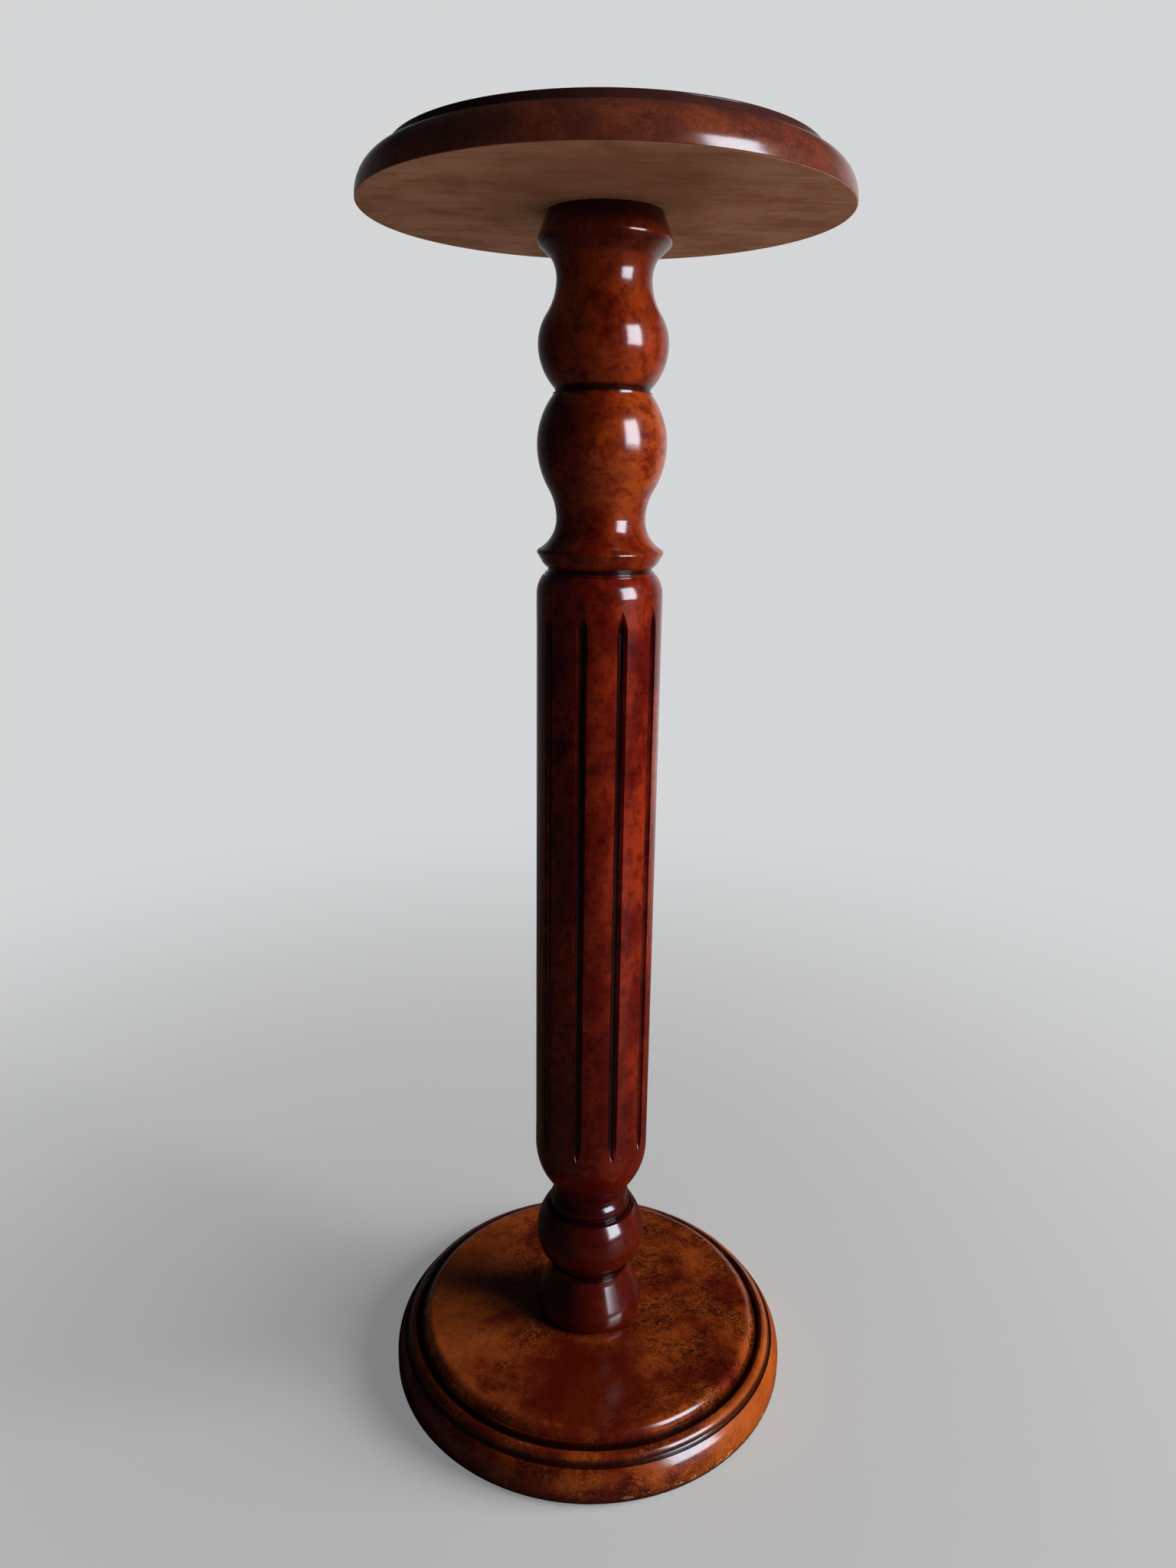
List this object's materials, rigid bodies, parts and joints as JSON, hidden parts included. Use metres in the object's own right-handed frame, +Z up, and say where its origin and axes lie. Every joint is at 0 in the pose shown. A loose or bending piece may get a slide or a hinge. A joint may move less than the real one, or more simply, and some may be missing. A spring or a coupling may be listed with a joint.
{
  "type": "pedestal column stand",
  "caption": "Round turned wooden pedestal stand: moulded round base, fluted column with vase turnings, flat round top for a plant, lamp or figure.",
  "frame": {"origin": "on the floor, under the middle of the column", "axes": "+Z up along the column; the stand is round, so X and Y are free; -Y is the side that the picture shows"},
  "size_m": [0.25, 0.25, 0.713],
  "materials": {
    "lacquered_board": "red-brown mahogany stain with burr-like mottling under a glossy lacquer",
    "lacquered_turning": "red-brown mahogany stain with fine dark flecks under a glossy lacquer",
    "bare_beech": "unfinished beech, inside the joints",
    "zinc_steel": "zinc-plated steel",
    "insert_brass": "plain turned brass",
    "felt": "dark brown felt"
  },
  "bodies": {
    "root": {"top_board": "lacquered_board", "base_board": "lacquered_board", "vase_turning": "lacquered_turning", "fluted_shaft": "lacquered_turning", "foot_turning": "lacquered_turning", "shaft_top_dowel": "bare_beech", "shaft_bottom_dowel": "bare_beech", "top_pin_1": "bare_beech", "top_pin_2": "bare_beech", "base_pin_1": "bare_beech", "base_pin_2": "bare_beech", "top_stud": "zinc_steel", "base_bolt": "zinc_steel", "base_washer": "zinc_steel", "top_insert_nut": "insert_brass", "base_insert_nut": "insert_brass", "felt_pad_1": "felt", "felt_pad_2": "felt", "felt_pad_3": "felt", "felt_pad_4": "felt"}
  },
  "joints": []
}
